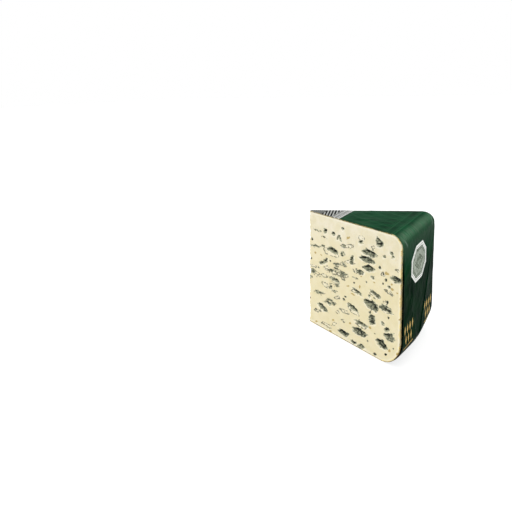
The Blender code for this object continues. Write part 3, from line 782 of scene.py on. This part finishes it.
colour = overprint(tree, colour, wear_and_glint, "#83998A", 0.7)

# A frame and a diamond lattice on the top, tone on tone, with a border outside them. A line of the print is
# given as (middle, width).
FRAME_IN, FRAME_FROM, FRAME_TO = 4.5, 34.5, 71.0
FRAME_LINES = ((0.0, 0.9), (1.7, 0.45))
BORDER_LINES = ((75.6, 0.5), (77.2, 0.9))
LATTICE_IN, LATTICE_LEAN, LATTICE_PERIOD, LATTICE_LINE = 2.6, 0.5, 9.2, 0.8
outward_part = node(tree, "Math", along_x, math.sin(HALF_ANGLE), operation="MULTIPLY")
from_cut = node(tree, "Math", off_middle, -math.cos(HALF_ANGLE), outward_part, operation="MULTIPLY_ADD")
in_frame = node(tree, "Math", from_cut, FRAME_IN, operation="SUBTRACT")
for bound in (
    node(tree, "Math", FRAME_TO, along_x, operation="SUBTRACT"),
    node(tree, "Math", along_x, FRAME_FROM, operation="SUBTRACT"),
):
    in_frame = node(tree, "Math", in_frame, bound, operation="MINIMUM")
lattice = 0.0
for lean in (LATTICE_LEAN, -LATTICE_LEAN):
    leaning = node(tree, "Math", along_x, lean, across_y, operation="MULTIPLY_ADD")
    stripes = printed_stripes(tree, leaning, LATTICE_PERIOD, LATTICE_LINE)
    lattice = node(tree, "Math", stripes, lattice, operation="MAXIMUM")
past_frame = node(tree, "Math", in_frame, LATTICE_IN, operation="GREATER_THAN")
tone = node(tree, "Math", lattice, past_frame, operation="MULTIPLY")
for across, lines in ((in_frame, FRAME_LINES), (along_x, BORDER_LINES)):
    for middle, width in lines:
        ink = node(tree, "Math", across, middle, width / 2, operation="COMPARE")
        tone = node(tree, "Math", tone, ink, operation="MAXIMUM")
tone = node(tree, "Math", tone, on_top, operation="MULTIPLY")
colour = overprint(tree, colour, tone, "#427A56", 0.6)

# The top's medal: a silver octagon round the wheel's middle, of which the wedge has one eighth. From the
# tip out it has hatching, slanting bars, and a pale border with ticks, and thin lines part them.
MEDAL, HATCHED_TO, INNER_TO, BARRED_TO = 32.0, 14.2, 14.8, 25.3
BAR_LEAN, BAR_PERIOD, BAR_WIDTH, BAR_BAND = 0.36, 2.3, 1.3, (19.6, 9.6)
TICK_PERIOD, TICK_WIDTH, TICK_BAND = 9.0, 5.0, (28.6, 2.4)
HATCH_LEAN, HATCH_PERIOD, HATCH_WIDTH = 0.8, 1.7, 0.8
MEDAL_LINES = ((30.6, 0.4), (25.3, 0.8), (14.6, 0.6), (26.5, 0.4))
on_medal = node(tree, "Math", along_x, MEDAL, operation="LESS_THAN")
on_medal = node(tree, "Math", on_medal, on_top, operation="MULTIPLY")
slanting = node(tree, "Math", across_y, BAR_LEAN, along_x, operation="MULTIPLY_ADD")
bars = printed_stripes(tree, slanting, BAR_PERIOD, BAR_WIDTH)
banded = node(tree, "Math", along_x, BAR_BAND[0], BAR_BAND[1] / 2, operation="COMPARE")
bars = node(tree, "Math", bars, banded, operation="MULTIPLY")

# The ticks fan out from the wheel's middle, so their spacing is in hundredths of slope
turn = node(tree, "Math", across_y, along_x, operation="DIVIDE")
turn = node(tree, "Math", turn, 100.0, operation="MULTIPLY")
ticks = printed_stripes(tree, turn, TICK_PERIOD, TICK_WIDTH)
banded = node(tree, "Math", along_x, TICK_BAND[0], TICK_BAND[1] / 2, operation="COMPARE")
ticks = node(tree, "Math", ticks, banded, operation="MULTIPLY")
slanting = node(tree, "Math", off_middle, HATCH_LEAN, along_x, operation="MULTIPLY_ADD")
hatching = printed_stripes(tree, slanting, HATCH_PERIOD, HATCH_WIDTH)
hatched = node(tree, "Math", along_x, HATCHED_TO, operation="LESS_THAN")
hatching = node(tree, "Math", hatching, hatched, operation="MULTIPLY")
near_middle = node(tree, "Math", along_x, INNER_TO, operation="LESS_THAN")
under_bars = node(tree, "Math", along_x, BARRED_TO, operation="LESS_THAN")
medal_colour = node(tree, "Mix", under_bars, linear("#DEE0DD"), linear("#D2D4D0"), data_type="RGBA")
medal_colour = node(tree, "Mix", near_middle, medal_colour, linear("#A9ABA7"), data_type="RGBA")
medal_colour = overprint(tree, medal_colour, bars, "#1D1F1C")
medal_colour = overprint(tree, medal_colour, ticks, "#5E605B")
medal_colour = overprint(tree, medal_colour, hatching, "#62645F")
for middle, width in MEDAL_LINES:
    ink = node(tree, "Math", along_x, middle, width / 2, operation="COMPARE")
    medal_colour = overprint(tree, medal_colour, ink, "#4A4C47")
colour = node(tree, "Mix", on_medal, colour, medal_colour, data_type="RGBA")

# The side's medal: a flattened octagon a little off the side's middle, with a pale border, an engraved
# ground and a lozenge. BADGE_LINES follow its outline, inside it, and EMBLEM_LINES are the lozenge's.
BADGE_PLACE, BADGE_LEVEL, BADGE_HALF_WIDE, BADGE_HALF_HIGH = -2.2, 62.6, 16.1, 12.6
BEVEL_ACROSS, BEVEL_UP, BEVEL_REACH = 0.638, 0.7705, 14.2
BADGE_BORDER, BADGE_LINES = -2.7, ((-1.5, 0.4), (-2.8, 0.5), (-4.3, 0.5))
EMBLEM_STEEPNESS, EMBLEM_LINES = 0.6, ((3.0, 0.6), (5.2, 0.7))
ENGRAVED_PERIOD, ENGRAVED_WIDTH, ENGRAVED_FROM, ENGRAVED_TO = 2.3, 0.7, 5.4, -4.6
SHADE_LUMP = 1.8
off_level = node(tree, "Math", level_z, BADGE_LEVEL, operation="SUBTRACT")
off_level = node(tree, "Math", off_level, operation="ABSOLUTE")
off_badge = node(tree, "Math", across_y, BADGE_PLACE, operation="SUBTRACT")
off_badge = node(tree, "Math", off_badge, operation="ABSOLUTE")
badge = node(tree, "Math", off_badge, BADGE_HALF_WIDE, operation="SUBTRACT")
up_part = node(tree, "Math", off_level, BEVEL_UP, -BEVEL_REACH, operation="MULTIPLY_ADD")
for bound in (
    node(tree, "Math", off_level, BADGE_HALF_HIGH, operation="SUBTRACT"),
    node(tree, "Math", off_badge, BEVEL_ACROSS, up_part, operation="MULTIPLY_ADD"),
):
    badge = node(tree, "Math", badge, bound, operation="MAXIMUM")
on_badge = node(tree, "Math", badge, 0.0, operation="LESS_THAN")
on_badge = node(tree, "Math", on_badge, on_side, operation="MULTIPLY")
engraved = 0.0
for lean in (1.0, -1.0):
    leaning = node(tree, "Math", level_z, lean, across_y, operation="MULTIPLY_ADD")
    stripes = printed_stripes(tree, leaning, ENGRAVED_PERIOD, ENGRAVED_WIDTH)
    engraved = node(tree, "Math", stripes, engraved, operation="MAXIMUM")
emblem = node(tree, "Math", off_badge, EMBLEM_STEEPNESS, off_level, operation="MULTIPLY_ADD")
for bound in (
    node(tree, "Math", emblem, ENGRAVED_FROM, operation="GREATER_THAN"),
    node(tree, "Math", badge, ENGRAVED_TO, operation="LESS_THAN"),
):
    engraved = node(tree, "Math", engraved, bound, operation="MULTIPLY")
shaded = node(tree, "TexNoise", place, 1 / SHADE_LUMP, 2.0)
shaded = node(tree, "MapRange", shaded, 0.45, 0.62, 0.0, 1.0, interpolation_type="SMOOTHSTEP")
in_border = node(tree, "Math", badge, BADGE_BORDER, operation="LESS_THAN")
shaded = node(tree, "Math", shaded, in_border, operation="MULTIPLY")
badge_colour = node(tree, "Mix", in_border, linear("#EEF0EA"), linear("#A9B3A4"), data_type="RGBA")
badge_colour = overprint(tree, badge_colour, shaded, "#66725F", 0.8)
badge_colour = overprint(tree, badge_colour, engraved, "#D6DCD0", 0.45)
for across, lines, code in ((emblem, EMBLEM_LINES, "#56614F"), (badge, BADGE_LINES, "#5C675A")):
    for middle, width in lines:
        ink = node(tree, "Math", across, middle, width / 2, operation="COMPARE")
        badge_colour = overprint(tree, badge_colour, ink, code, 0.85)
colour = node(tree, "Mix", on_badge, colour, badge_colour, data_type="RGBA")

# Low on each pleat, a gold ornament: two rows of upright lozenges, half a step apart, over a thin rule
ORNAMENT_OUT, ORNAMENT_LEVEL, ORNAMENT_HALF = 21.5, 21.0, 8.5
LOZENGE_PERIOD, LOZENGE_HALF, LOZENGE_STEEPNESS, ROW_OUT = 4.8, 1.1, 0.31, 3.6
RULE_DOWN, RULE_WIDTH = 8.8, 0.7
beside = node(tree, "Math", off_middle, ORNAMENT_OUT, operation="SUBTRACT")
off_rows = node(tree, "Math", level_z, ORNAMENT_LEVEL, operation="SUBTRACT")
off_rows = node(tree, "Math", off_rows, operation="ABSOLUTE")
off_rows = node(tree, "Math", off_rows, ROW_OUT, operation="SUBTRACT")
off_rows = node(tree, "Math", off_rows, operation="ABSOLUTE")
upper_row = node(tree, "Math", level_z, ORNAMENT_LEVEL, operation="GREATER_THAN")
lozenge = node(tree, "Math", upper_row, LOZENGE_PERIOD / 2, beside, operation="MULTIPLY_ADD")
lozenge = node(tree, "Math", lozenge, LOZENGE_PERIOD / 2, operation="PINGPONG")
lozenge = node(tree, "Math", off_rows, LOZENGE_STEEPNESS, lozenge, operation="MULTIPLY_ADD")
gold = node(tree, "Math", lozenge, LOZENGE_HALF, operation="LESS_THAN")
rule = node(tree, "Math", level_z, ORNAMENT_LEVEL - RULE_DOWN, RULE_WIDTH / 2, operation="COMPARE")
gold = node(tree, "Math", gold, rule, operation="MAXIMUM")
within = node(tree, "Math", beside, 0.0, ORNAMENT_HALF, operation="COMPARE")
gold = node(tree, "Math", gold, within, operation="MULTIPLY")
gold = node(tree, "Math", gold, on_side, operation="MULTIPLY")
colour = overprint(tree, colour, gold, "#E3C47C")

# Creases: fine ones across the shoulder and up the foot, and over all of it soft folds, a net of sharp
# crinkles and a fine unevenness. A crease's two sizes are its length and the spacing of its neighbours.
CREASE_LENGTH, CREASE_SPACING = 11.0, 1.3
SHOULDER_FROM, SHOULDER_TO = 76.0, 80.0
CREASED_FROM, CREASED_TO = 73.0, 78.0
FOOT_FROM, FOOT_TO = 22.0, 5.0
SOFT_FOLD, SOFT_FOLD_RELIEF = 9.0, 1.2
CRINKLE, CRINKLE_WIDTH, CRINKLE_RELIEF = 8.0, 0.2, 0.14
UNEVEN, UNEVEN_RELIEF = 2.2, 0.12
crosswise = (1 / CREASE_LENGTH, 1 / CREASE_SPACING, 1 / CREASE_LENGTH)
crosswise = node(tree, "VectorMath", place, crosswise, operation="MULTIPLY")
crosswise = node(tree, "TexNoise", crosswise, 1.0, 2.0)
shoulder = node(
    tree, "MapRange", level_z, SHOULDER_FROM, SHOULDER_TO, 0.0, 1.0, interpolation_type="SMOOTHSTEP"
)
past = node(tree, "MapRange", along_x, CREASED_FROM, CREASED_TO, 0.0, 0.55, interpolation_type="SMOOTHSTEP")
foot = node(tree, "MapRange", level_z, FOOT_FROM, FOOT_TO, 0.0, 0.8, interpolation_type="SMOOTHSTEP")
creased = node(tree, "Math", shoulder, past, foot, operation="MULTIPLY_ADD")
soft_fold = node(tree, "TexNoise", place, 1 / SOFT_FOLD, 2.0)
soft_fold = node(tree, "Math", soft_fold, 0.5, operation="SUBTRACT")
soft_fold = node(tree, "Math", soft_fold, operation="ABSOLUTE")
soft_fold = node(tree, "Math", soft_fold, SOFT_FOLD_RELIEF, operation="MULTIPLY")
relief = node(tree, "Math", crosswise, creased, soft_fold, operation="MULTIPLY_ADD")
wandering = node(tree, "TexNoise", place, 1 / CRINKLE, 2.0, out="Color")
wandering = node(tree, "VectorMath", wandering, (CRINKLE, CRINKLE, CRINKLE), place, operation="MULTIPLY_ADD")
crinkle = node(tree, "TexVoronoi", wandering, 1 / CRINKLE, feature="DISTANCE_TO_EDGE")
crinkle = node(
    tree, "MapRange", crinkle, 0.0, CRINKLE_WIDTH, CRINKLE_RELIEF, 0.0, interpolation_type="SMOOTHSTEP"
)
relief = node(tree, "Math", relief, crinkle, operation="ADD")
uneven = node(tree, "TexNoise", place, 1 / UNEVEN, 2.0)
relief = node(tree, "Math", uneven, UNEVEN_RELIEF, relief, operation="MULTIPLY_ADD")
bumped = node(tree, "Bump", {"Strength": 0.35, "Distance": MM, "Height": relief})

# The white and silver inks are the palest colours, and hide some of the metal
bare = node(tree, "MapRange", node(tree, "RGBToBW", colour), 0.62, 0.88, 1.0, 0.4)
shader = node(
    tree,
    "BsdfPrincipled",
    {
        "Base Color": colour, "Normal": bumped, "Metallic": bare, "Roughness": 0.38,
        "Specular Tint": linear("#A7A7A7"),
    },
)
node(tree, "OutputMaterial", shader)

# The foil's inside and its cut edge show a thin gold lacquer, tarnished in places: a warm dark line
gold_foil, tree = new_material("aluminium_foil_gold_lacquer_cut_edge")
place = node(tree, "VectorMath", node(tree, "TexCoord", out="Object"), 1 / MM, operation="SCALE")
TARNISH = 2.4
tarnish = node(tree, "TexNoise", place, 1 / TARNISH, 2.0)
tarnish = node(tree, "MapRange", tarnish, 0.42, 0.62, 0.0, 1.0, interpolation_type="SMOOTHSTEP")
edge_colour = node(tree, "Mix", tarnish, linear("#DCC584"), linear("#7E6A3C"), data_type="RGBA")
shader = node(tree, "BsdfPrincipled", {"Base Color": edge_colour, "Metallic": 0.5, "Roughness": 0.45})
node(tree, "OutputMaterial", shader)

foil.data.materials.append(lacquered_foil)
foil.data.materials.append(gold_foil)
slots = np.ones(len(foil.data.polygons), dtype=np.int32)
slots[: len(outer_faces)] = 0
foil.data.polygons.foreach_set("material_index", slots)
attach(foil, "root")
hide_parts("wrap")


# Pleats. The surplus foil at each corner of the wheel is folded flat over its side as a long triangle,
# from the corner's top to the middle of the foot. The folded edge stands off a little and throws a shadow.
PLEAT_TOP = 79.3
PLEAT_FOOT = 2.5
PLEAT_SHEET = 0.14
PLEAT_SUNK = 0.13
PLEAT_SEAM_GAP = 0.5
PLEAT_START, PLEAT_CLEAR, PLEAT_CROWDING = 0.004, 0.25, 1.15
LIFT_LEAST, LIFT_MORE, LIFT_BEND, LIFT_OVER = 0.1, 0.26, 1.6, (0.15, 0.85)
PLEAT_ROWS = 90
PLEAT_COLUMNS = 30


def pleat(name, side):
    """One pleat as a thin closed sheet that lies on the side."""
    down = np.linspace(PLEAT_START, 1, PLEAT_ROWS)[:, None]
    across = np.linspace(0, 1, PLEAT_COLUMNS)[None, :]
    height = PLEAT_TOP - (PLEAT_TOP - PLEAT_CLEAR) * (1 - (1 - down) ** PLEAT_CROWDING) + 0 * across
    fallen = np.clip((PLEAT_TOP - height) / (PLEAT_TOP - PLEAT_FOOT), 0, 1)
    slope = side * (WIDEST - across * (WIDEST - PLEAT_SEAM_GAP / 2 / APOTHEM) * fallen)
    low = np.clip(1 - height / base_round(slope), 0, 1)
    x = reach(slope, height, 0.0)
    dent = dents(np.stack((x, x * slope, height), 2))
    lift = across**LIFT_BEND * (LIFT_LEAST + LIFT_MORE * soft_step(*LIFT_OVER, fallen)) - PLEAT_SUNK - dent
    layers = []
    for raised in (lift, lift + PLEAT_SHEET):
        out_x = x + raised * np.sqrt(1 - low**2)
        layers.append(np.stack((out_x, out_x * slope, height - raised * low), 2))
    under = np.arange(height.size).reshape(height.shape)
    rim = rim_of(under)
    faces = quads(under, side > 0) + quads(under + height.size, side < 0)
    faces += quads(np.stack((rim, rim + height.size)), side < 0)
    coords = (np.concatenate([layer.reshape(-1, 3) for layer in layers]) + TIP_PLACE) * MM
    return new_piece(name, coords, faces)


for fold in (pleat("pleat_front", -1), pleat("pleat_back", 1)):
    fold.data.materials.append(lacquered_foil)
    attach(fold, "root")


# Floor and light. A sheet of opal acrylic, faintly lit from below so that hardly any shadow falls on it,
# a broad soft lamp before the cut, one high up, one low behind for the wrap's shoulder, and a white room.
FLOOR_HALF = 6.0
floor_coords = np.array(((-1, -1, 0), (1, -1, 0), (1, 1, 0), (-1, 1, 0))) * FLOOR_HALF
floor = new_piece("floor", floor_coords, [(0, 1, 2, 3)])
acrylic, tree = new_material("opal_acrylic_sheet_matt")
shader = node(
    tree,
    "BsdfPrincipled",
    {
        "Base Color": linear("#A4A4A4"), "Roughness": 0.9, "IOR": 1.49,
        "Emission Color": linear("#FFFFFF"), "Emission Strength": 0.74,
    },
)
node(tree, "OutputMaterial", shader)
floor.data.materials.append(acrylic)

room = bpy.data.worlds.new("white_room")
room.use_nodes = True
room.node_tree.nodes["Background"].inputs["Color"].default_value = linear("#FFFFFF")
bpy.context.scene.world = room


def soft_lamp(name, place, size, power):
    """A square lamp aimed at the middle of the wedge."""
    data = bpy.data.lights.new(name, "AREA")
    data.size, data.energy = size, power
    lamp = bpy.data.objects.new(name, data)
    lamp.location = place
    aim = Vector((0, 0, HEIGHT / 2 * MM)) - lamp.location
    lamp.rotation_euler = aim.to_track_quat("-Z", "Y").to_euler()
    bpy.context.scene.collection.objects.link(lamp)


soft_lamp("front_softbox", (-0.5, -0.27, 0.32), 0.35, 0.26)
soft_lamp("overhead_softbox", (-0.1, 0.1, 0.8), 0.6, 1.2)
soft_lamp("low_back_softbox", (0.21, 0.62, 0.29), 0.35, 0.7)
bpy.context.scene.view_settings.view_transform = "Standard"
